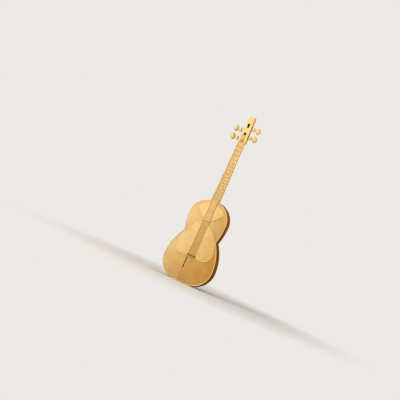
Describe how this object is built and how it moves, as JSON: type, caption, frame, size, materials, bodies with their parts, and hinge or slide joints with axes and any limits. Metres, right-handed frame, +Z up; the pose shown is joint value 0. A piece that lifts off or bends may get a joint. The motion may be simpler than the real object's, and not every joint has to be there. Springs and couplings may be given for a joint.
{
  "type": "long-necked lute",
  "caption": "Persian tar: long-necked lute with a waisted double bowl, heart-shaped skin, tied gut frets and turned tuning pegs.",
  "frame": {"origin": "on the flat of the tail, on the axis about which the backs of the bowls are round", "axes": "+Z up the neck, -Y towards the front with the skins and strings, +X to the right as seen from the front"},
  "size_m": [0.272, 0.1922, 0.9],
  "materials": {
    "gilded_wood": "satin gold leaf over carved mulberry and walnut",
    "gilded_skin": "satin gold over stretched lambskin",
    "bare_wood": "planed, unfinished inside the body",
    "fingerboard_wood": "grained gold, darker than the body",
    "gilded_bone": "polished bone under gold",
    "gut": "twisted gut",
    "peg_wood": "turned and gilded",
    "string_brass": "drawn wire",
    "brass_pin": "polished"
  },
  "bodies": {
    "body": {"bowl_left_half": "gilded_wood", "bowl_right_half": "gilded_wood", "face_board": "gilded_wood", "large_skin": "gilded_skin", "small_skin": "gilded_skin", "neck_block": "bare_wood", "tail_block": "bare_wood", "tailpiece": "gilded_bone", "tail_pins": "brass_pin", "neck": "gilded_wood", "fingerboard": "fingerboard_wood", "bone_strip_left": "gilded_bone", "bone_strip_right": "gilded_bone", "fingerboard_tongue": "fingerboard_wood", "frets": "gut", "nut": "gilded_bone", "bridge": "gilded_bone", "pegbox": "gilded_wood", "pegbox_face": "gilded_wood", "string_1": "string_brass", "string_2": "string_brass", "string_3": "string_brass", "string_4": "string_brass"},
    "peg_1": {"peg_1": "peg_wood", "peg_1_winding": "string_brass"},
    "peg_2": {"peg_2": "peg_wood", "peg_2_winding": "string_brass"},
    "peg_3": {"peg_3": "peg_wood", "peg_3_winding": "string_brass"},
    "peg_4": {"peg_4": "peg_wood", "peg_4_winding": "string_brass"}
  },
  "joints": [
    {"name": "peg_1_turn", "type": "hinge", "parent": "body", "child": "peg_1", "pos_m": [0, -0.033, 0.7765], "axis": [1, 0, 0], "continuous": true},
    {"name": "peg_2_turn", "type": "hinge", "parent": "body", "child": "peg_2", "pos_m": [0, -0.033, 0.7985], "axis": [1, 0, 0], "continuous": true},
    {"name": "peg_3_turn", "type": "hinge", "parent": "body", "child": "peg_3", "pos_m": [0, -0.033, 0.8205], "axis": [1, 0, 0], "continuous": true},
    {"name": "peg_4_turn", "type": "hinge", "parent": "body", "child": "peg_4", "pos_m": [0, -0.033, 0.8425], "axis": [1, 0, 0], "continuous": true}
  ]
}
